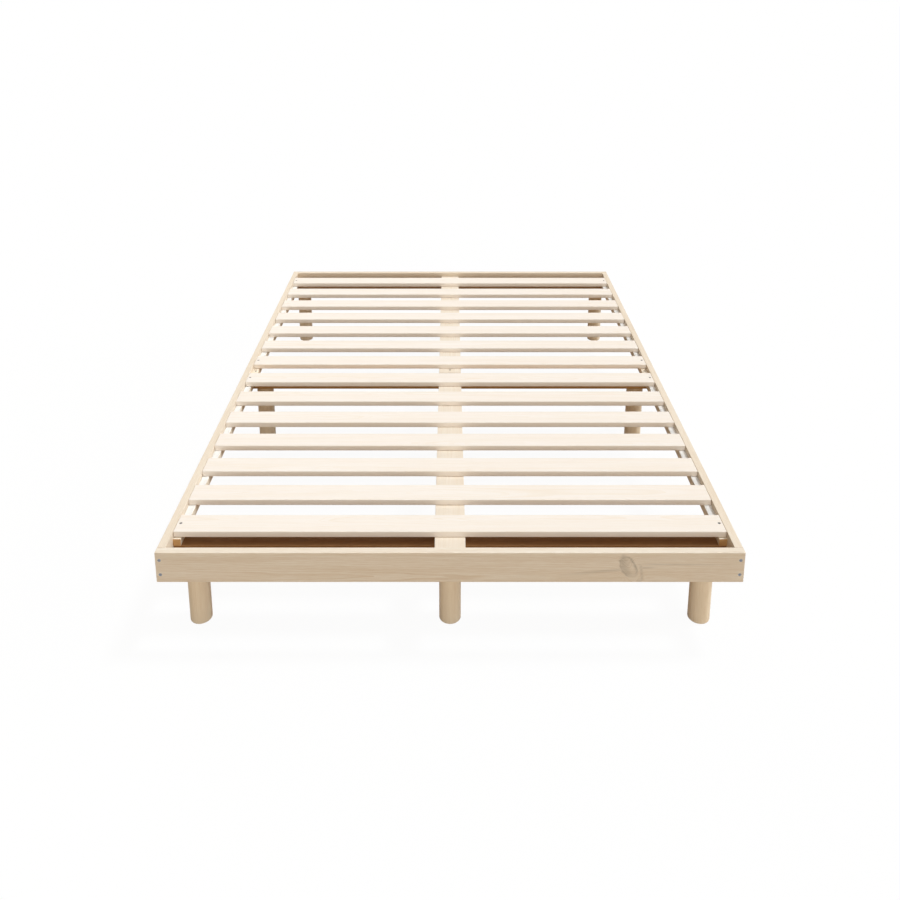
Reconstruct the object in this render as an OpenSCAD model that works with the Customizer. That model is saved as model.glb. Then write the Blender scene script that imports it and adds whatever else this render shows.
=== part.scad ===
// Slatted double bed base in solid pine, standing on nine turned legs.
// Loose boards on webbing lie flush inside a plain frame and carry the mattress.
// X runs across the bed, Y from the foot to the head, and Z up from the floor.

/* [Frame] */
// Width over the side rails
frame_w = 1400; // [900:10:1800]
// Length over the end rails
frame_l = 1900; // [1750:10:2200]
// Height of the rails
rail_h = 80; // [60:1:120]
// Thickness of the rails
rail_t = 20; // [16:1:28]
// Radius of the eased edges of the rails
rail_ease = 1; // [0.5:0.5:4]

/* [Slats] */
// Number of slats
slat_count = 14; // [10:1:16]
// Width of a slat
slat_w = 66; // [50:1:80]
// Thickness of a slat
slat_t = 16; // [14:1:24]
// Radius of the eased edges of a slat
slat_ease = 1.5; // [0.5:0.5:4]
// Opening between an end rail and the nearest slat
slat_margin = 59; // [30:1:90]
// Play between the end of a slat and the side rail
slat_play = 1; // [0.5:0.5:4]

/* [Ledgers] */
// Width of the ledger along each side rail
ledger_w = 19; // [15:1:30]
// Height of a ledger
ledger_h = 19; // [15:1:30]
// Radius of the eased edges of the ledgers and the centre beam
ledger_ease = 1; // [0.5:0.5:3]
// How far a ledger shows past the outer slat
ledger_overhang = 6; // [2:1:20]

/* [Cross members and centre beam] */
// Width of a cross member
cross_w = 75; // [60:1:100]
// Thickness of a cross member
cross_t = 20; // [17:1:30]
// Play between a cross member and the side rail
cross_play = 1; // [0.5:0.5:3]
// Width of the centre beam
beam_w = 75; // [50:1:110]
// Play at the ends of the two halves of the centre beam
beam_play = 1; // [0.2:0.1:2]

/* [Legs] */
// Diameter of a leg
leg_d = 55; // [40:1:70]
// Length of a leg
leg_h = 216; // [120:1:300]
// Distance from the side of the bed to the axis of an outer leg
leg_inset = 64; // [55:1:120]
// Radius of the eased edge at the foot of a leg
leg_ease = 2; // [0.5:0.5:5]

/* [Webbing] */
// Width of the webbing that links the slats
strap_w = 18; // [13:1:19]
// Play between the webbing and the side rail
strap_play = 0.5; // [0.2:0.1:1.5]
// Thickness of the webbing
strap_t = 1; // [0.8:0.1:1.6]
// How far the webbing stops short of the edge of an outer slat
strap_short = 8; // [2:1:14]

/* [Screws] */
// Shank diameter of the screws that join the rails
rail_screw_d = 5; // [4:0.5:6]
// Head diameter of the screws that join the rails
rail_screw_head = 8; // [7:0.5:11]
// Length of the screws that join the rails
rail_screw_l = 60; // [45:5:80]
// Distance of these screws from the upper and lower edge of the rail
rail_screw_edge = 20.5; // [14:0.5:25]
// Shank diameter of all other screws
wood_screw_d = 4; // [3:0.5:4.5]
// Head diameter of all other screws
wood_screw_head = 7.5; // [6:0.5:9]
// How deep the heads of these screws lie in the wood
wood_screw_sink = 1; // [0.5:0.1:2]
// Wood left beyond the point of a screw
screw_cover = 4; // [2:0.5:6]
// Distance of the ledger screws from the middle of a cross member
ledger_screw_off = 16.5; // [12:0.5:25]
// Distance of the beam screws from the middle of a cross member
beam_screw_off = 23; // [18:0.5:28]

/* [Leg fixings] */
// Thread diameter of the hanger bolt in a leg
bolt_d = 8; // [6:1:8]
// Depth of the bolt in the leg
bolt_in_leg = 34; // [25:1:50]
// Diameter of the flange of the insert nut
nut_flange_d = 18; // [16:1:24]
// Thickness of the flange of the insert nut
nut_flange_t = 1.5; // [1:0.1:2]
// Outer diameter of the barrel of the insert nut
nut_barrel_d = 12; // [10:0.5:14]
// Length of the barrel of the insert nut
nut_barrel_l = 11; // [8:1:13]

/* [Staples] */
// Width of a staple over its legs
staple_w = 10; // [6:0.5:10]
// Length of the legs of a staple
staple_l = 8; // [6:0.5:11]
// Thickness of the staple wire
staple_wire = 0.6; // [0.4:0.1:0.7]
// Distance of a staple from the middle line of its slat
staple_off = 16; // [10:1:20]

/* [Hidden] */
// Radial play round a screw, bolt or staple
fit = 0.05;
// Play beyond the point of a screw or nut
tip_play = 0.5;
// Play below the point of a bolt
bolt_play = 2;
// How far a bolt ends below the top of its nut
bolt_short = 1;
// Height of the straight rim of a screw head
screw_rim = 0.4;
// Length, width and depth of the cross recess, as shares of the head's diameter
recess_shares = [0.55, 0.13, 0.28];
// Bevel at the ends of a bolt and at the top of a leg
bevel = 1;
// How far a cutting shape reaches past a face
over = 1;
// Number of sides used for small and for large circles
small_fn = 32;
large_fn = 96;
// Number of steps in the eased rim of a leg
rim_steps = 6;

pine = "#ead9bd";
pine_pale = "#f1e4cd";
pine_dark = "#d8c19c";
zinc = "#8f97a0";
white_web = "#eeedea";

clear_w = frame_w - 2 * rail_t;
clear_l = frame_l - 2 * rail_t;

// Heights of the faces on which the pieces rest, from the floor upwards
cross_z = leg_h;
ledger_z = cross_z + cross_t;
strap_z = ledger_z + ledger_h;
slat_z = strap_z + strap_t;
frame_top = slat_z + slat_t;
beam_t = slat_z - ledger_z;

slat_l = clear_w - 2 * slat_play;
slat_pitch = (clear_l - 2 * slat_margin - slat_w) / (slat_count - 1);
function slat_y(i) = (i - (slat_count + 1) / 2) * slat_pitch;

// The slats hang together in two groups, and the slats that end a group are screwed down
half_count = floor(slat_count / 2);
fixed_slats = [1, half_count, half_count + 1, slat_count];

// The rows of legs stand under the two outer slats and half way between them
leg_rows = [slat_y(1), 0, slat_y(slat_count)];
leg_x = frame_w / 2 - leg_inset;
leg_columns = [-leg_x, 0, leg_x];

ledger_x = clear_w / 2 - ledger_w / 2;
strap_x = clear_w / 2 - strap_play - strap_w / 2;
ledger_l = 2 * (slat_y(slat_count) + slat_w / 2 + ledger_overhang);
cross_l = clear_w - 2 * cross_play;
beam_l = clear_l / 2 - 2 * beam_play;

rail_screw_x = frame_w / 2 - rail_t / 2;
rail_screw_z = [frame_top - rail_screw_edge, frame_top - rail_h + rail_screw_edge];
screw_loss = wood_screw_sink + screw_cover;
slat_screw_l = slat_t + strap_t + ledger_h - screw_loss;
ledger_screw_l = ledger_w + rail_t - screw_loss;
cross_screw_l = ledger_h + cross_t - screw_loss;
beam_screw_l = beam_t + cross_t - screw_loss;

nut_l = nut_flange_t + nut_barrel_l;
bolt_l = bolt_in_leg + nut_l - bolt_short;

ROW_NAMES = ["foot", "middle", "head"];
SIDE_NAMES = ["left", "centre", "right"];
function slat_name(i) = str("slat_", i < 10 ? "0" : "", i);
function leg_name(row, col) = str("leg_", ROW_NAMES[row], "_", SIDE_NAMES[col]);

// Section of a planed board, with all four corners eased
module eased_section(w, h, r) {
    square([w - 2 * r, h], center = true);
    square([w, h - 2 * r], center = true);
    for (x = [-1, 1], y = [-1, 1])
        translate([x * (w / 2 - r), y * (h / 2 - r)]) circle(r = r, $fn = small_fn);
}

// Board along X, centred, w wide along Y and t thick along Z
module board_x(l, w, t, r) {
    rotate([90, 0, 90]) linear_extrude(l, center = true) eased_section(w, t, r);
}

// Board along Y, centred, w wide along X and t thick along Z
module board_y(l, w, t, r) {
    rotate([90, 0, 0]) linear_extrude(l, center = true) eased_section(w, t, r);
}

// Outline of a countersunk screw that points down from its head at the origin
module screw_outline(d, head_d, l, play, top, tip) {
    cone = (head_d - d) / 2;
    polygon([
        [0, top],
        [head_d / 2 + play, top],
        [head_d / 2 + play, -screw_rim],
        [d / 2 + play, -screw_rim - cone],
        [d / 2 + play, -l + d],
        [0, -l - tip]
    ]);
}

// Countersunk screw with a cross recess, its head sink below the face at the origin
module screw(d, head_d, l, sink) {
    recess = head_d * recess_shares;
    translate([0, 0, -sink]) difference() {
        rotate_extrude($fn = small_fn) screw_outline(d, head_d, l, 0, 0, 0);
        for (turn = [0, 90])
            rotate(turn) translate([0, 0, -recess.z / 2 + over / 2])
                cube([recess.x, recess.y, recess.z + over], center = true);
    }
}

module screw_hole(d, head_d, l, sink) {
    translate([0, 0, -sink])
        rotate_extrude($fn = small_fn) screw_outline(d, head_d, l, fit, sink + over, tip_play);
}

module wood_screw(l) {
    screw(wood_screw_d, wood_screw_head, l, wood_screw_sink);
}

module wood_screw_hole(l) {
    screw_hole(wood_screw_d, wood_screw_head, l, wood_screw_sink);
}

// Places of the screws through an end rail, where end is -1 at the foot and 1 at the head
module at_rail_screws(end) {
    for (side = [-1, 1], z = rail_screw_z)
        translate([side * rail_screw_x, end * frame_l / 2, z]) rotate([-end * 90, 0, 0]) children();
}

// Places of the screws that hold a ledger to its side rail, one in every second slat gap
module at_ledger_screws(side) {
    for (i = [1:2:slat_count - 1]) {
        y = (slat_y(i) + slat_y(i + 1)) / 2;
        if (abs(y) > cross_w / 2)
            translate([side * (clear_w / 2 - ledger_w), y, ledger_z + ledger_h / 2])
                rotate([0, -side * 90, 0]) children();
    }
}

// Places of the screws from a ledger down into a cross member
module at_cross_screws(side, rows) {
    for (y = rows, off = [-1, 1])
        translate([side * ledger_x, y + off * ledger_screw_off, strap_z]) children();
}

// Places of the screws from one half of the centre beam down into the cross members
module at_beam_screws(end) {
    outer = end < 0 ? leg_rows[0] : leg_rows[2];
    for (y = [outer - beam_screw_off, outer + beam_screw_off, end * beam_screw_off])
        translate([0, y, slat_z]) children();
}

// Places of the screws from a slat down into the ledgers
module at_slat_screws(i, sides) {
    if (len([for (k = fixed_slats) if (k == i) k]) > 0)
        for (side = sides) translate([side * ledger_x, slat_y(i), frame_top]) children();
}

module at_slat_staples(i, sides) {
    for (side = sides) translate([side * strap_x, slat_y(i) + staple_off, strap_z]) children();
}

module rail_screw_hole() {
    screw_hole(rail_screw_d, rail_screw_head, rail_screw_l, 0);
}

// Rail across the foot or the head, with eased corners on all sides
module end_rail(end) {
    color(pine) difference() {
        translate([0, end * (frame_l / 2 - rail_t / 2), frame_top - rail_h / 2]) intersection() {
            board_x(frame_w, rail_t, rail_h, rail_ease);
            linear_extrude(rail_h, center = true) eased_section(frame_w, rail_t, rail_ease);
        }
        at_rail_screws(end) rail_screw_hole();
    }
}

module side_rail(side) {
    color(pine) difference() {
        translate([side * (frame_w / 2 - rail_t / 2), 0, frame_top - rail_h / 2])
            board_y(clear_l, rail_t, rail_h, rail_ease);
        for (end = [-1, 1]) at_rail_screws(end) rail_screw_hole();
        at_ledger_screws(side) wood_screw_hole(ledger_screw_l);
    }
}

module ledger(side) {
    color(pine_dark) difference() {
        translate([side * ledger_x, 0, ledger_z + ledger_h / 2])
            board_y(ledger_l, ledger_w, ledger_h, ledger_ease);
        at_ledger_screws(side) wood_screw_hole(ledger_screw_l);
        at_cross_screws(side, leg_rows) wood_screw_hole(cross_screw_l);
        for (i = fixed_slats) at_slat_screws(i, [side]) wood_screw_hole(slat_screw_l);
    }
}

// Cross member with a blind, counterbored hole in its underside for the nut of each leg
module cross_member(row) {
    y = leg_rows[row];
    color(pine_dark) difference() {
        translate([0, y, cross_z + cross_t / 2]) board_x(cross_l, cross_w, cross_t, ledger_ease);
        for (x = leg_columns) translate([x, y, cross_z - over]) {
            cylinder(d = nut_flange_d + 2 * fit, h = over + nut_flange_t, $fn = small_fn);
            cylinder(d = nut_barrel_d + 2 * fit, h = over + nut_l + tip_play, $fn = small_fn);
        }
        for (side = [-1, 1]) at_cross_screws(side, [y]) wood_screw_hole(cross_screw_l);
        for (end = [-1, 1]) at_beam_screws(end) wood_screw_hole(beam_screw_l);
    }
}

// One half of the centre beam, from an end rail to the middle cross member
module centre_beam(end) {
    color(pine_pale) difference() {
        translate([0, end * clear_l / 4, slat_z - beam_t / 2])
            board_y(beam_l, beam_w, beam_t, ledger_ease);
        at_beam_screws(end) wood_screw_hole(beam_screw_l);
    }
}

// Turned leg with eased rims and a blind bore for its bolt
module leg(row, col) {
    color(pine) translate([leg_columns[col], leg_rows[row], 0]) rotate_extrude($fn = large_fn)
        polygon(concat(
            [[0, 0]],
            [for (k = [0:rim_steps]) let (a = -90 + 90 * k / rim_steps)
                [leg_d / 2 - leg_ease + leg_ease * cos(a), leg_ease + leg_ease * sin(a)]],
            [[leg_d / 2, leg_h - bevel], [leg_d / 2 - bevel, leg_h]],
            [[bolt_d / 2 + fit, leg_h], [bolt_d / 2 + fit, leg_h - bolt_in_leg - bolt_play]],
            [[0, leg_h - bolt_in_leg - bolt_play]]
        ));
}

// Staple that points up from its crown at the origin, across the webbing
module staple(play) {
    for (x = [-1, 1]) translate([x * (staple_w - staple_wire) / 2, 0, staple_l / 2 + play / 2])
        cube([staple_wire + 2 * play, staple_wire + 2 * play, staple_l + play], center = true);
    translate([0, 0, staple_wire / 2 + play / 2])
        cube([staple_w + 2 * play, staple_wire + 2 * play, staple_wire + play], center = true);
}

module slat(i) {
    color(pine_pale) difference() {
        translate([0, slat_y(i), slat_z + slat_t / 2]) board_x(slat_l, slat_w, slat_t, slat_ease);
        at_slat_screws(i, [-1, 1]) wood_screw_hole(slat_screw_l);
        at_slat_staples(i, [-1, 1]) staple(fit);
    }
}

// Webbing under the ends of the slats from one slat to another
module webbing(side, first, last) {
    low = slat_y(first) - slat_w / 2 + strap_short;
    high = slat_y(last) + slat_w / 2 - strap_short;
    color(white_web) difference() {
        translate([side * strap_x - strap_w / 2, low, strap_z]) cube([strap_w, high - low, strap_t]);
        for (i = [first:last]) {
            at_slat_screws(i, [side]) wood_screw_hole(slat_screw_l);
            at_slat_staples(i, [side]) staple(fit);
        }
    }
}

module rail_screws() {
    color(zinc) for (end = [-1, 1])
        at_rail_screws(end) screw(rail_screw_d, rail_screw_head, rail_screw_l, 0);
}

module ledger_screws() {
    color(zinc) for (side = [-1, 1])
        at_ledger_screws(side) wood_screw(ledger_screw_l);
}

module cross_member_screws() {
    color(zinc) for (side = [-1, 1])
        at_cross_screws(side, leg_rows) wood_screw(cross_screw_l);
}

module beam_screws() {
    color(zinc) for (end = [-1, 1])
        at_beam_screws(end) wood_screw(beam_screw_l);
}

module slat_screws() {
    color(zinc) for (i = fixed_slats)
        at_slat_screws(i, [-1, 1]) wood_screw(slat_screw_l);
}

module webbing_staples() {
    color(zinc) for (i = [1:slat_count]) at_slat_staples(i, [-1, 1]) staple(0);
}

// Hanger bolts, with a wood screw point down in the leg and a machine thread up in the nut
module leg_bolts() {
    color(zinc) for (y = leg_rows, x = leg_columns) translate([x, y, leg_h - bolt_in_leg])
        rotate_extrude($fn = small_fn) polygon([
            [0, 0],
            [bolt_d / 2, bolt_d],
            [bolt_d / 2, bolt_l - bevel],
            [bolt_d / 2 - bevel, bolt_l],
            [0, bolt_l]
        ]);
}

// Insert nuts, let in flush with the underside of the cross members
module leg_nuts() {
    color(zinc) for (y = leg_rows, x = leg_columns) translate([x, y, cross_z])
        rotate_extrude($fn = small_fn) polygon([
            [bolt_d / 2 + fit, 0],
            [nut_flange_d / 2, 0],
            [nut_flange_d / 2, nut_flange_t],
            [nut_barrel_d / 2, nut_flange_t],
            [nut_barrel_d / 2, nut_l],
            [bolt_d / 2 + fit, nut_l]
        ]);
}

end_rail(-1);  // foot_rail
end_rail(1);  // head_rail
side_rail(-1);  // side_rail_left
side_rail(1);  // side_rail_right
ledger(-1);  // ledger_left
ledger(1);  // ledger_right
cross_member(0);  // cross_member_foot
cross_member(1);  // cross_member_middle
cross_member(2);  // cross_member_head
centre_beam(-1);  // centre_beam_foot
centre_beam(1);  // centre_beam_head
for (row = [0:2], col = [0:2])
    leg(row, col);
for (i = [1:slat_count])
    slat(i);
webbing(-1, 1, half_count);  // webbing_foot_left
webbing(1, 1, half_count);  // webbing_foot_right
webbing(-1, half_count + 1, slat_count);  // webbing_head_left
webbing(1, half_count + 1, slat_count);  // webbing_head_right
rail_screws();
ledger_screws();
cross_member_screws();
beam_screws();
slat_screws();
webbing_staples();
leg_bolts();
leg_nuts();
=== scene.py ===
import math
import random

import bmesh
import bpy
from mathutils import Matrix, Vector


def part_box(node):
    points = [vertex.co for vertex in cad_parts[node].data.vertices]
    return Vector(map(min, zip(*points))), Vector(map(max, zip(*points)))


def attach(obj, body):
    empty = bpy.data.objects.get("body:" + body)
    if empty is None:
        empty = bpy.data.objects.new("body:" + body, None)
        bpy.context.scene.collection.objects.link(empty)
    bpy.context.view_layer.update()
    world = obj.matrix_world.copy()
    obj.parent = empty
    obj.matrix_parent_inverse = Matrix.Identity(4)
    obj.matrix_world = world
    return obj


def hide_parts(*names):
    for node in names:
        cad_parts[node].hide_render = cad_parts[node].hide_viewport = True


# Looks of a slatted double bed base in solid pine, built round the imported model.
# Metres: X runs across the bed, Y from the foot to the head, Z up from the floor.

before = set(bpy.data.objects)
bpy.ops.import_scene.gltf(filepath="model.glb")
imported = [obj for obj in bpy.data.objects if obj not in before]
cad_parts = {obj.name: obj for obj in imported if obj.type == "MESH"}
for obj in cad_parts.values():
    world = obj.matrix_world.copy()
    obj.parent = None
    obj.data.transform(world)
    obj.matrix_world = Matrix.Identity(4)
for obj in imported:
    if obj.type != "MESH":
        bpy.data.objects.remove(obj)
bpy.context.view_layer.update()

SIDES = ("left", "right")
ENDS = ("foot", "head")
FASTENERS = ("screws", "staples", "bolts", "nuts")
# Screws sunk in the slats, beam and cross members, which get the zinc painted darker as painted shade
SCREWS_IN_PAINTED_SHADE = ("slat_screws", "beam_screws", "cross_member_screws")
WHITE = (1.0, 1.0, 1.0)

# Camera, fitted to the corners of the bed in the photograph
CAMERA_PLACE = (0.0, -2.746, 1.643)
CAMERA_TILT = math.radians(13.19)
CAMERA_LENS = 34.85
CAMERA_SHIFT = -0.32
CAMERA_SENSOR = 36.0
CAMERA_REACH = 200.0

# Lamps: where the light comes from, its colour and strength, and how many degrees wide the lamp is.
# The fill comes evenly from all round.
LAMPS = {
    "key": dict(came_from=(0.47, 0.12, 1.0), colour=(0.90, 0.955, 1.0), strength=1.76, spread=9),
    "top": dict(came_from=(-0.08, 0.0, 1.0), colour=(0.90, 0.95, 1.0), strength=0.50, spread=50),
    "side": dict(came_from=(1.0, 0.05, 0.30), colour=(0.96, 0.99, 1.0), strength=1.42, spread=40),
    "front": dict(came_from=(0.0, -1.0, 0.26), colour=(1.0, 1.0, 0.95), strength=1.27, spread=34),
    "back": dict(came_from=(-0.35, 1.0, 0.34), colour=(1.0, 0.90, 0.76), strength=0.75, spread=40),
}
FILL_COLOUR = (1.0, 0.75, 0.47)
FILL_STRENGTH = 0.17

# Floor: its own colour lights the bed from below, and the camera sees it paler and mostly as plain white
FLOOR_HALF = 30.0
FLOOR_COLOUR = (0.33, 0.21, 0.10)
FLOOR_SEEN_COLOUR = (0.95, 0.95, 0.95)
FLOOR_WHITE_SHARE = 0.95

# Sockets of a Mix node for colours go by number, because others in it have the same names
MIX_INPUTS = (0, 6, 7)
MIX_RESULT = 2


class Nodes:
    """Nodes of one material or world. Most calls add a node, fill its inputs and return its output."""

    def __init__(self, owner):
        owner.use_nodes = True
        self.owner = owner
        self.tree = owner.node_tree
        self.tree.nodes.clear()

    def fill(self, socket, value):
        """Links an output to a socket, or sets the socket to a number, a vector or a colour."""
        if isinstance(value, bpy.types.NodeSocket):
            self.tree.links.new(value, socket)
        elif socket.type == "RGBA":
            socket.default_value = (*value, 1.0)
        else:
            socket.default_value = value

    def node(self, kind, settings=None, **inputs):
        """Adds a node. Its inputs go by their names, with _ for each space."""
        made = self.tree.nodes.new("ShaderNode" + kind)
        for key, value in (settings or {}).items():
            setattr(made, key, value)
        for key, value in inputs.items():
            self.fill(made.inputs[key.replace("_", " ")], value)
        return made

    def maths(self, operation, *values):
        made = self.node("Math", {"operation": operation})
        for socket, value in zip(made.inputs, values):
            self.fill(socket, value)
        return made.outputs[0]

    def sum(self, first, *others):
        for other in others:
            first = self.maths("ADD", first, other)
        return first

    def product(self, first, *others):
        for other in others:
            first = self.maths("MULTIPLY", first, other)
        return first

    def minus(self, a, b):
        return self.maths("SUBTRACT", a, b)

    def largest(self, first, *others):
        for other in others:
            first = self.maths("MAXIMUM", first, other)
        return first

    def vector(self, x, y, z):
        return self.node("CombineXYZ", X=x, Y=y, Z=z).outputs[0]

    def measure(self, place, x, y):
        """How far a place, given as two values, lies in the direction x, y."""
        return self.sum(self.product(place[0], x), self.product(place[1], y))

    def noise(self, place, pattern):
        """Noise from 0 to 1 in the cells of a pattern."""
        scaled = self.node("VectorMath", {"operation": "DIVIDE"})
        self.fill(scaled.inputs[0], place)
        self.fill(scaled.inputs[1], pattern["cell"])
        made = self.node("TexNoise", Vector=scaled.outputs[0], Scale=1.0, Detail=pattern["detail"])
        return made.outputs["Fac"]

    def sway(self, place, pattern, amount):
        """Noise round 0, by up to half of amount either way."""
        return self.product(self.minus(self.noise(place, pattern), 0.5), amount)

    def smooth(self, value, low, high, to_low=0.0, to_high=1.0):
        """Value from low to high, mapped smoothly to to_low and to_high and held beyond them."""
        made = self.node("MapRange", {"interpolation_type": "SMOOTHSTEP"}, Value=value,
                         From_Min=low, From_Max=high, To_Min=to_low, To_Max=to_high)
        return made.outputs[0]

    def hill(self, squared):
        """A smooth hill of height 1 where a squared distance is 0."""
        return self.maths("POWER", math.e, self.product(squared, -1.0))

    def band(self, value, place, width):
        """A smooth hill of height 1 where value is at place."""
        off = self.product(self.minus(value, place), 1 / width)
        return self.hill(self.product(off, off))

    def mix(self, share, a, b, blend="MIX"):
        """Colour a at share 0. At share 1 it is colour b, or a multiplied by b."""
        made = self.node("Mix", {"data_type": "RGBA", "blend_type": blend})
        for number, value in zip(MIX_INPUTS, (share, a, b)):
            self.fill(made.inputs[number], value)
        return made.outputs[MIX_RESULT]

    def mix_shaders(self, share, a, b):
        """Shader a at share 0, and shader b at share 1."""
        made = self.node("MixShader")
        for socket, value in zip(made.inputs, (share, a.outputs[0], b.outputs[0])):
            self.fill(socket, value)
        return made

    def seen(self):
        """1 where the camera looks, also in a reflection or through glass, and 0 for all other light."""
        rays = self.node("LightPath").outputs
        in_gloss = self.largest(rays["Is Glossy Ray"], rays["Is Transmission Ray"])
        return self.largest(rays["Is Camera Ray"], in_gloss)

    def surface(self, colour, rough, height, strength=1.0, **inputs):
        """Ends a material with a solid surface, bumpy by height in metres."""
        bump = self.node("Bump", Height=height, Distance=1.0, Strength=strength).outputs[0]
        inputs.update(Base_Color=colour, Roughness=rough, Normal=bump)
        return self.finish(self.node("BsdfPrincipled", **inputs))

    def finish(self, shader, output="OutputMaterial"):
        """Adds the output, and returns the material or world."""
        self.node(output, Surface=shader.outputs[0])
        return self.owner


def new_material(name):
    return Nodes(bpy.data.materials.new(name))


def add_object(name, data):
    added = bpy.data.objects.new(name, data)
    bpy.context.collection.objects.link(added)
    return added


# Looks of the wood: its colours between the year rings, in their dark late wood and in a knot,
# the strength of the ring lines, of the streaks and of the fibres, the tint of the end grain, and how
# far the rings wander
# The ochre tint of the slat ends is partly their end grain and partly painted warm shade in the narrow gaps
# at the side rails
SLAT_PINE = {"early": (0.920, 0.865, 0.815), "late": (0.84, 0.73, 0.59), "knot": (0.42, 0.27, 0.15),
             "lines": 0.36, "streaks": 0.22, "fibres": 0.16, "end": (0.85, 0.64, 0.44), "wander": 0.014}
BEAM_PINE = {"early": (0.910, 0.825, 0.715), "late": (0.80, 0.665, 0.50), "knot": (0.42, 0.27, 0.15),
             "lines": 0.42, "streaks": 0.28, "fibres": 0.18, "end": (0.89, 0.82, 0.74), "wander": 0.010}
RAIL_PINE = {"early": (0.890, 0.830, 0.740), "late": (0.725, 0.595, 0.445), "knot": (0.30, 0.26, 0.21),
             "lines": 0.50, "streaks": 0.34, "fibres": 0.36, "end": (0.89, 0.82, 0.74), "wander": 0.003}
# The side and head rails are the rail pine painted darker: painted shade, for the shaded inner faces of the
# right rail and the head rail
SIDE_RAIL_PAINTED_SHADE = dict(RAIL_PINE, early=(0.875, 0.795, 0.685))
HEAD_RAIL_PAINTED_SHADE = dict(RAIL_PINE, early=(0.830, 0.745, 0.630))
LEG_PINE = {"early": (0.900, 0.800, 0.645), "late": (0.74, 0.59, 0.42), "knot": (0.40, 0.25, 0.14),
            "lines": 0.42, "streaks": 0.28, "fibres": 0.20, "end": (0.89, 0.82, 0.74), "wander": 0.010}
LEDGER_PINE = {"early": (0.95, 0.87, 0.745), "late": (0.84, 0.71, 0.53), "knot": (0.35, 0.20, 0.10),
               "lines": 0.42, "streaks": 0.28, "fibres": 0.20, "end": (0.88, 0.63, 0.37), "wander": 0.008}
# The cross members are browner pine, painted darker still as painted shade for the slots under the slats;
CROSS_PINE_AND_PAINTED_SHADE = {"early": (0.57, 0.335, 0.135), "late": (0.46, 0.24, 0.09), "knot": (0.25, 0.13, 0.06),
              "lines": 0.50, "streaks": 0.28, "fibres": 0.24, "end": (0.89, 0.79, 0.70), "wander": 0.010}
# the one at the foot is painted darker again, as painted shade for the slot behind the foot rail
FOOT_CROSS_PAINTED_SHADE = dict(CROSS_PINE_AND_PAINTED_SHADE, early=(0.45, 0.24, 0.10), late=(0.36, 0.18, 0.07))

# The look of each board, by how the name of its node starts. The first that fits counts.
BOARD_LOOKS = {"slat_": SLAT_PINE, "leg_": LEG_PINE, "ledger_": LEDGER_PINE,
               "cross_member_foot": FOOT_CROSS_PAINTED_SHADE, "cross_member_": CROSS_PINE_AND_PAINTED_SHADE,
               "centre_beam_": BEAM_PINE, "foot_rail": RAIL_PINE, "head_rail": HEAD_RAIL_PAINTED_SHADE,
               "side_rail_": SIDE_RAIL_PAINTED_SHADE}

# A knot lies at along and across, from the middle of the board. It is long and wide, turned by turn degrees
# from the grain, and lifts the year rings by lift. Its rings are dark by rings, and its heart by heart.
KNOTS = {
    "foot_rail": [dict(along=0.4245, across=0.001, long=0.032, wide=0.0175, turn=-62, lift=0.016,
                       rings=1.0, heart=0.0)],
    "head_rail": [dict(along=-0.497, across=0.006, long=0.011, wide=0.008, turn=10, lift=0.010,
                       rings=0.3, heart=0.85),
                  dict(along=0.212, across=-0.014, long=0.013, wide=0.010, turn=20, lift=0.009,
                       rings=0.5, heart=0.45)],
    "side_rail_left": [dict(along=-0.318, across=0.012, long=0.014, wide=0.010, turn=-15, lift=0.010,
                            rings=0.6, heart=0.35)],
    "side_rail_right": [dict(along=0.402, across=-0.009, long=0.017, wide=0.012, turn=25, lift=0.011,
                             rings=0.7, heart=0.25)],
}

# Grey streaks beside a knot, from start to end, each given as along and across
KNOT_STREAKS = {
    "foot_rail": [dict(start=(0.412, -0.005), end=(0.245, -0.022), wide=0.0040, dark=0.30),
                  dict(start=(0.465, 0.009), end=(0.700, 0.007), wide=0.0022, dark=0.30),
                  dict(start=(0.450, -0.001), end=(0.500, 0.001), wide=0.0032, dark=0.30)],
}

# How a board may lie in its stem. Its figure comes from up to these distances along and into a long log,
# the pith lies behind the board and somewhat aside, and the stem tapers and leans by shares of its length.
FIGURE_ALONG = 40
FIGURE_DEEP = 5
PITH_ASIDE = 0.03
PITH_BEHIND = (0.035, 0.075)
STEM_TAPER = (0.003, 0.009)
STEM_LEAN = 0.006

# Patterns of the figure: the size of a cell along, across and into the grain, and how fine its detail is.
# Below, a range says where a change sets in and ends, and then, if that isn't 0 to 1, its values there.
WANDER = dict(cell=(0.45, 0.07, 0.07), detail=1.0)
RIPPLE = dict(cell=(0.11, 0.012, 0.012), detail=2.0)
FIBRES = dict(cell=(0.030, 0.0007, 0.0007), detail=3.0)
DARK_STREAKS = dict(cell=(0.35, 0.016, 0.016), detail=3.0)
CLOUDS = dict(cell=(0.30, 0.10, 0.10), detail=1.0)
KNOT_OUTLINE = dict(cell=(0.020, 0.014, 0.014), detail=1.0)
KNOT_GRAIN = dict(cell=(0.012, 0.004, 0.004), detail=2.0)
RIPPLE_DEPTH = 0.0016

# Year rings. Noise with this many cells a year shifts them by up to this many years, so their widths vary.
# Late wood sets in slowly and ends sharply, at these shares of a year, and is weaker in some years.
YEAR_WIDTH = 0.0032
SHIFT_CELLS = 0.6
SHIFT_YEARS = 1.4
LATE_SETS_IN = (0.35, 0.90)
LATE_ENDS = (1.0, 0.95)
WEAKEST_LATE = 0.45

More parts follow.
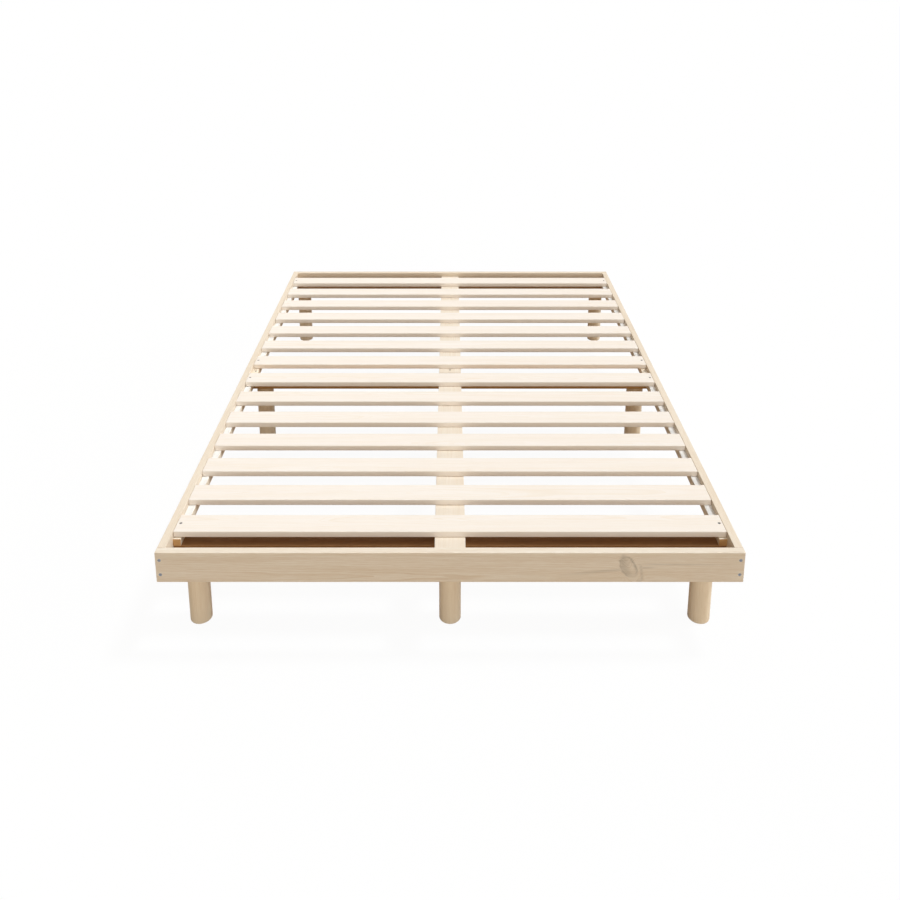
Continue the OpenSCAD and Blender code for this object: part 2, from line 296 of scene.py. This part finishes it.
# Figure of a knot, in shares of its half sizes. Its outline sways, and its grain makes it darker in places.
# The body gets darker towards one side, aslant, and has a pale eye at this place, long and wide.
KNOT_SWAY = 0.60
KNOT_GRAIN_DARK = (0.25, 0.75, 0.75, 1.1)
KNOT_SLANT = 0.5
KNOT_DARK_SIDE = (0.5, -0.9)
KNOT_BODY_EDGE = (1.25, 0.65)
KNOT_BODY_DARK = 0.22
KNOT_SIDE_DARK = 0.36
KNOT_EYE = (0.20, 0.34)
KNOT_EYE_LONG = 0.40
KNOT_EYE_WIDE = 0.36
KNOT_EYE_PALE = 0.9
KNOT_HEART_NARROWS = 1.6

# Rings of a knot: how far out each lies, how wide it is and how dark. The main ring fades along the knot,
# the inner one shows on the dark side, and the outer one on the other, beyond these places.
MAIN_RING = (0.90, 0.17)
MAIN_RING_DARK = 0.66
MAIN_RING_FADES = (1.1, 0.3, 0.25, 1.0)
INNER_RING = (0.48, 0.13)
INNER_RING_DARK = 0.60
OUTER_RING = (1.50, 0.20)
OUTER_RING_DARK = 0.34
OUTER_RING_ALONG = (-0.1, 0.5)
OUTER_RING_ACROSS = (-0.3, 0.5)

# A grey streak sets in and fades out at these shares of its length
STREAK_SETS_IN = (-0.10, 0.10)
STREAK_FADES = (1.0, 0.35)

# Where in their noise fibres, dark streaks and clouds set in, and the colour and share of the clouds
FIBRES_SET_IN = (0.3, 0.7)
DARK_STREAKS_SET_IN = (0.35, 0.75)
CLOUDS_SET_IN = (0.3, 0.7)
CLOUD_COLOUR = (0.97, 0.90, 0.84)
CLOUD_SHARE = 0.14

# End grain sets in as a face turns to look along the board, and its ring lines are strong.
# A knot covers late wood fully, and early wood to this share.
END_GRAIN_SETS_IN = (0.6, 0.9)
END_GRAIN_LINES = 0.85
KNOT_COVERS_EARLY = 0.75

# Roughness of plain wood and what late wood, fibres and end grain add to it, how high late wood and
# fibres stand, and the gloss
WOOD_ROUGH = 0.54
LATE_ROUGH = -0.07
FIBRE_ROUGH = 0.16
END_ROUGH = 0.16
LATE_HEIGHT = 0.00005
FIBRE_HEIGHT = 0.00008
WOOD_GLOSS = 0.30


def stem_place(node):
    """How a board lay in its stem, drawn at random, and the same on every run."""
    draw = random.Random("grain of " + node)
    return {"along": draw.uniform(-FIGURE_ALONG, FIGURE_ALONG),
            "deep": draw.uniform(-FIGURE_DEEP, FIGURE_DEEP),
            "pith_aside": draw.uniform(-PITH_ASIDE, PITH_ASIDE),
            "pith_behind": draw.choice((-1, 1)) * draw.uniform(*PITH_BEHIND),
            "taper": draw.choice((-1, 1)) * draw.uniform(*STEM_TAPER),
            "lean": draw.uniform(-STEM_LEAN, STEM_LEAN)}


def board_places(n, node):
    """Distances along, across and into a board from its middle, and how squarely a face looks along it."""
    low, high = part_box(node)
    middle, size = (low + high) / 2, high - low
    longest_first = sorted(range(3), key=lambda axis: -size[axis])
    coordinates = n.node("TexCoord").outputs
    place = n.node("SeparateXYZ", Vector=coordinates["Object"]).outputs
    normal = n.node("SeparateXYZ", Vector=coordinates["Normal"]).outputs
    distances = [n.minus(place[axis], middle[axis]) for axis in longest_first]
    return distances, n.maths("ABSOLUTE", normal[longest_first[0]])


def pith_distance(n, distances, log, stem, wander):
    """Distance from the pith, with the slow wander of the stem and the ripple of the rings."""
    along, across, deep = distances
    aside = n.sum(across, stem["pith_aside"], n.product(along, stem["lean"]))
    from_pith = n.vector(0.0, aside, n.sum(deep, stem["pith_behind"]))
    radius = n.node("VectorMath", {"operation": "LENGTH"}, Vector=from_pith).outputs["Value"]
    taper = n.product(along, stem["taper"])
    return n.sum(radius, taper, n.sway(log, WANDER, wander), n.sway(log, RIPPLE, RIPPLE_DEPTH))


def knot_figure(n, along, across, log, knot):
    """The hill by which a knot lifts the year rings, so that they flow round it, and how dark it is."""
    turn = math.radians(knot["turn"])
    off = (n.minus(along, knot["along"]), n.minus(across, knot["across"]))
    a = n.measure(off, math.cos(turn) / knot["long"], math.sin(turn) / knot["long"])
    b = n.measure(off, -math.sin(turn) / knot["wide"], math.cos(turn) / knot["wide"])
    squared = n.sum(n.product(a, a), n.product(b, b))
    reach = n.sum(n.maths("SQRT", squared), n.sway(log, KNOT_OUTLINE, KNOT_SWAY))
    grain = n.smooth(n.noise(log, KNOT_GRAIN), *KNOT_GRAIN_DARK)
    eye_a, eye_b = n.minus(a, KNOT_EYE[0]), n.minus(b, KNOT_EYE[1])
    eye = n.hill(n.sum(n.product(eye_a, eye_a, 1 / KNOT_EYE_LONG ** 2),
                       n.product(eye_b, eye_b, 1 / KNOT_EYE_WIDE ** 2)))
    dark_side = n.smooth(n.sum(b, n.product(a, KNOT_SLANT)), *KNOT_DARK_SIDE)

    body = n.product(n.smooth(reach, *KNOT_BODY_EDGE), n.minus(1.0, n.product(eye, KNOT_EYE_PALE)),
                     n.sum(n.product(dark_side, KNOT_SIDE_DARK), KNOT_BODY_DARK))
    main = n.product(n.band(reach, *MAIN_RING), n.smooth(a, *MAIN_RING_FADES), MAIN_RING_DARK)
    inner = n.product(n.band(reach, *INNER_RING), dark_side, INNER_RING_DARK)
    outer = n.product(n.band(reach, *OUTER_RING), n.smooth(b, *OUTER_RING_ACROSS),
                      n.smooth(a, *OUTER_RING_ALONG), OUTER_RING_DARK)
    rings = [n.product(part, grain, knot["rings"]) for part in (body, main, inner, outer)]
    heart = n.product(n.hill(n.product(squared, KNOT_HEART_NARROWS)), knot["heart"])
    return n.product(n.hill(squared), knot["lift"]), n.largest(0.0, *rings, heart)


def streak_figure(n, along, across, streak):
    """How dark a grey streak is."""
    start = Vector(streak["start"])
    way = Vector(streak["end"]) - start
    off = (n.minus(along, start.x), n.minus(across, start.y))
    share = n.measure(off, way.x / way.length_squared, way.y / way.length_squared)
    aside = n.measure(off, -way.y / way.length / streak["wide"], way.x / way.length / streak["wide"])
    return n.product(n.hill(n.product(aside, aside)), n.smooth(share, *STREAK_SETS_IN),
                     n.smooth(share, *STREAK_FADES), streak["dark"])


def late_wood(n, radius):
    """How far a point lies in the dark late wood, from 0 to 1."""
    even = n.product(radius, 1 / YEAR_WIDTH)
    shift = n.node("TexNoise", {"noise_dimensions": "1D"}, W=n.product(even, SHIFT_CELLS), Detail=1.0)
    years = n.sum(even, n.product(shift.outputs["Fac"], SHIFT_YEARS))
    year = n.node("TexWhiteNoise", {"noise_dimensions": "1D"}, W=n.maths("FLOOR", years)).outputs["Value"]
    part = n.maths("FRACT", years)
    return n.product(n.smooth(part, *LATE_SETS_IN), n.smooth(part, *LATE_ENDS),
                     n.smooth(year, 0.0, 1.0, WEAKEST_LATE, 1.0))


def pine(node, look):
    """Solid pine: year rings round a pith outside the board, so that faces, edges and ends agree."""
    n = new_material("pine_" + node)
    distances, faces_along = board_places(n, node)
    along, across, deep = distances
    stem = stem_place(node)
    log = n.vector(n.sum(along, stem["along"]), across, n.sum(deep, stem["deep"]))
    radius = pith_distance(n, distances, log, stem, look["wander"])
    dark = 0.0
    for knot in KNOTS.get(node, ()):
        lift, knot_dark = knot_figure(n, along, across, log, knot)
        radius = n.sum(radius, lift)
        dark = n.largest(dark, knot_dark)
    for streak in KNOT_STREAKS.get(node, ()):
        dark = n.largest(dark, streak_figure(n, along, across, streak))

    late = late_wood(n, radius)
    end = n.smooth(faces_along, *END_GRAIN_SETS_IN)
    fibre = n.noise(log, FIBRES)
    streaks = n.smooth(n.noise(log, DARK_STREAKS), *DARK_STREAKS_SET_IN)
    cloud = n.smooth(n.noise(log, CLOUDS), *CLOUDS_SET_IN)

    lines = n.smooth(end, 0.0, 1.0, look["lines"], END_GRAIN_LINES)
    colour = n.mix(n.product(late, lines), look["early"], look["late"])
    colour = n.mix(n.product(streaks, look["streaks"]), colour, look["late"])
    colour = n.mix(n.product(cloud, CLOUD_SHARE), colour, CLOUD_COLOUR, "MULTIPLY")
    fibre_share = n.product(n.smooth(fibre, *FIBRES_SET_IN), look["fibres"])
    colour = n.mix(fibre_share, colour, look["late"], "MULTIPLY")
    if node in KNOTS:
        cover = n.product(dark, n.smooth(late, 0.0, 1.0, KNOT_COVERS_EARLY, 1.0))
        colour = n.mix(cover, colour, look["knot"])
    colour = n.mix(end, colour, look["end"], "MULTIPLY")

    rough = n.sum(n.product(late, LATE_ROUGH), n.product(fibre, FIBRE_ROUGH), n.product(end, END_ROUGH),
                  WOOD_ROUGH)
    height = n.sum(n.product(late, LATE_HEIGHT), n.product(fibre, FIBRE_HEIGHT))
    return n.surface(colour, rough, height, Specular_IOR_Level=WOOD_GLOSS)


# Zinc-plated steel: dark and bright colour of each kind, patterns, roughness, and the depth of a scratch
BRIGHT_ZINC = ((0.22, 0.23, 0.25), (0.40, 0.42, 0.45))
# Painted shade: the same zinc painted darker, for the screws sunk in slats, beam and cross members
ZINC_PAINTED_SHADE = ((0.15, 0.15, 0.16), (0.30, 0.30, 0.31))
SPANGLE = dict(cell=(0.0025, 0.0025, 0.0025), detail=3.0)
SCRATCHES = dict(cell=(0.0060, 0.0002, 0.0060), detail=2.0)
ZINC_ROUGH = 0.22
SPANGLE_ROUGH = 0.22
SCRATCH_ROUGH = 0.12
SCRATCH_DEPTH = 0.00002
ZINC_BUMP = 0.6


def steel(name, dark, bright):
    """Zinc-plated steel with cloudy spangle and fine scratches."""
    n = new_material(name)
    place = n.node("TexCoord").outputs["Object"]
    spangle = n.noise(place, SPANGLE)
    scratch = n.noise(place, SCRATCHES)
    colour = n.mix(spangle, dark, bright)
    rough = n.sum(n.product(spangle, SPANGLE_ROUGH), n.product(scratch, SCRATCH_ROUGH), ZINC_ROUGH)
    return n.surface(colour, rough, n.product(scratch, SCRATCH_DEPTH), ZINC_BUMP, Metallic=1.0)


# Webbing: the pitch and depth of its ribs, how far its weave and its outer edges dip, the pitch of its warp
# threads, the width of a selvedge, points across a selvedge and between both, and clearance from the wood
RIB_PITCH = 0.0022
RIB_DEPTH = 0.00012
WEAVE_DIP = 2 * RIB_DEPTH
EDGE_DIP = 3 * RIB_DEPTH
WARP_PITCH = 0.0009
SELVEDGE = 0.0014
SELVEDGE_COLUMNS = 2
WEB_COLUMNS = 10
WEB_CLEARANCE = 0.00005

# Finish of the webbing: its colours in the hollows and on the threads, how far weave and fuzz make it pale,
# its roughness over a range of the fuzz, the height of weave and fuzz, and its bump and sheen
WEB_HOLLOW = (0.885, 0.87, 0.845)
WEB_THREAD = (0.95, 0.94, 0.92)
FUZZ = dict(cell=(0.0006, 0.0006, 0.0006), detail=3.0)
WEAVE_PALE = 0.5
FUZZ_PALE = 0.4
WEB_ROUGH = (0.2, 0.8, 0.75, 0.95)
WEAVE_HEIGHT = 0.00010
FUZZ_HEIGHT = 0.00005
WEB_BUMP = 0.8
WEB_SHEEN = 0.15


def woven(name):
    """White polyester tape: ribs of weft across it, crossed by fine warp threads."""
    n = new_material(name)
    coordinates = n.node("TexCoord").outputs["Object"]
    place = n.node("SeparateXYZ", Vector=coordinates).outputs
    warp = n.maths("SINE", n.product(place[0], 2 * math.pi / WARP_PITCH))
    weft = n.maths("SINE", n.product(place[1], 2 * math.pi / RIB_PITCH))
    weave = n.smooth(n.product(warp, weft), -1.0, 1.0)
    fuzz = n.noise(coordinates, FUZZ)
    pale = n.sum(n.product(weave, WEAVE_PALE), n.product(fuzz, FUZZ_PALE))
    colour = n.mix(pale, WEB_HOLLOW, WEB_THREAD)
    height = n.sum(n.product(weave, WEAVE_HEIGHT), n.product(fuzz, FUZZ_HEIGHT))
    return n.surface(colour, n.smooth(fuzz, *WEB_ROUGH), height, WEB_BUMP, Sheen_Weight=WEB_SHEEN)


def web_columns(width):
    """Places across a strip, as shares of its width, closer together in the selvedges."""
    rim = SELVEDGE / width
    selvedge = [rim * i / SELVEDGE_COLUMNS for i in range(SELVEDGE_COLUMNS)]
    inner = [rim + (1 - 2 * rim) * i / (WEB_COLUMNS - 1) for i in range(WEB_COLUMNS)]
    return [*selvedge, *inner, *(1 - share for share in reversed(selvedge))]


def web_dip(row, column, last):
    """How far a point of the weave lies inside the flat face of its strip."""
    in_selvedge = column < SELVEDGE_COLUMNS or column > last - SELVEDGE_COLUMNS
    weave = 0.0 if in_selvedge else WEAVE_DIP * ((row + column) % 2)
    rounding = EDGE_DIP if column in (0, last) else 0.0
    return weave + rounding + RIB_DEPTH * (row % 2)


def web_strip(node):
    """Flat woven strip in the space of its CAD node, with ribs across it and a selvedge along each edge."""
    low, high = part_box(node)
    width, length = high.x - low.x, high.y - low.y
    rows = 2 * int(length / RIB_PITCH)
    shares = web_columns(width)
    last = len(shares) - 1
    bm = bmesh.new()

    def layer(z, inward):
        return [[bm.verts.new((low.x + width * share, low.y + length * row / rows,
                               z + inward * web_dip(row, column, last)))
                 for column, share in enumerate(shares)]
                for row in range(rows + 1)]

    def edge(points, column):
        return [line[column] for line in points]

    def join(first, second, flipped=False):
        for a, b, c, d in zip(first, first[1:], second[1:], second):
            bm.faces.new((a, d, c, b) if flipped else (a, b, c, d))

    bottom = layer(low.z + WEB_CLEARANCE, 1)
    top = layer(high.z - WEB_CLEARANCE, -1)
    for row in range(rows):
        join(top[row], top[row + 1])
        join(bottom[row], bottom[row + 1], flipped=True)
    join(edge(top, 0), edge(bottom, 0))
    join(edge(top, last), edge(bottom, last), flipped=True)
    join(top[0], bottom[0], flipped=True)
    join(top[rows], bottom[rows])
    mesh = bpy.data.meshes.new("woven_" + node)
    bm.to_mesh(mesh)
    bm.free()
    for face in mesh.polygons:
        face.use_smooth = True
    return add_object("woven_" + node, mesh), (width, length)


def dress(node, material):
    """Gives a CAD node one material."""
    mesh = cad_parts[node].data
    mesh.materials.clear()
    mesh.materials.append(material)


def dress_wood():
    for node in sorted(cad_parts):
        if node.endswith(FASTENERS) or node.startswith("webbing"):
            continue
        look = next(look for start, look in BOARD_LOOKS.items() if node.startswith(start))
        dress(node, pine(node, look))


def dress_steel():
    bright = steel("zinc_steel", *BRIGHT_ZINC)
    # The sunk screws get a darker copy of the zinc, as painted shade
    painted_shade_steel = steel("zinc_painted_shade", *ZINC_PAINTED_SHADE)
    for node in sorted(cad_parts):
        if node.endswith(FASTENERS):
            dress(node, painted_shade_steel if node in SCREWS_IN_PAINTED_SHADE else bright)


def make_webbing():
    material = woven("woven_white")
    for end in ENDS:
        for side in SIDES:
            node = f"webbing_{end}_{side}"
            strip, flat = web_strip(node)
            strip.data.materials.append(material)
            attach(strip, "root")
            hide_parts(node)


def make_floor():
    """Pale floor that the camera sees as nearly white, with the shadow of the bed faintly on it."""
    n = new_material("pale_floor")
    seen = n.seen()
    matt = n.node("BsdfDiffuse", Color=n.mix(seen, FLOOR_COLOUR, FLOOR_SEEN_COLOUR))
    white = n.node("Emission", Color=WHITE, Strength=1.0)
    mixed = n.mix_shaders(n.product(seen, FLOOR_WHITE_SHARE), matt, white)
    mesh = bpy.data.meshes.new("floor")
    corners = [(x * FLOOR_HALF, y * FLOOR_HALF, 0.0) for x, y in ((-1, -1), (1, -1), (1, 1), (-1, 1))]
    mesh.from_pydata(corners, [], [(0, 1, 2, 3)])
    mesh.materials.append(n.finish(mixed))
    add_object("floor", mesh)


def far_lamp(name, came_from, colour, strength, spread):
    data = bpy.data.lights.new(name, "SUN")
    data.color = colour
    data.energy = strength
    data.angle = math.radians(spread)
    lamp = add_object(name, data)
    lamp.rotation_euler = Vector(came_from).to_track_quat("Z", "Y").to_euler()


def make_light():
    """The lamps, and a world that fills with warm light but looks white to the camera."""
    for name, lamp in LAMPS.items():
        far_lamp(name, **lamp)
    n = Nodes(bpy.data.worlds.new("studio"))
    fill = n.node("Background", Color=FILL_COLOUR, Strength=FILL_STRENGTH)
    white = n.node("Background", Color=WHITE, Strength=1.0)
    bpy.context.scene.world = n.finish(n.mix_shaders(n.seen(), fill, white), "OutputWorld")


def make_camera():
    data = bpy.data.cameras.new("camera")
    data.sensor_width = CAMERA_SENSOR
    data.lens = CAMERA_LENS
    data.shift_y = CAMERA_SHIFT
    data.clip_end = CAMERA_REACH
    camera = add_object("camera", data)
    camera.location = CAMERA_PLACE
    camera.rotation_euler = (math.pi / 2 - CAMERA_TILT, 0.0, 0.0)
    bpy.context.scene.camera = camera


make_camera()
make_light()
make_floor()
dress_wood()
dress_steel()
make_webbing()

bpy.context.scene.view_settings.view_transform = "Standard"
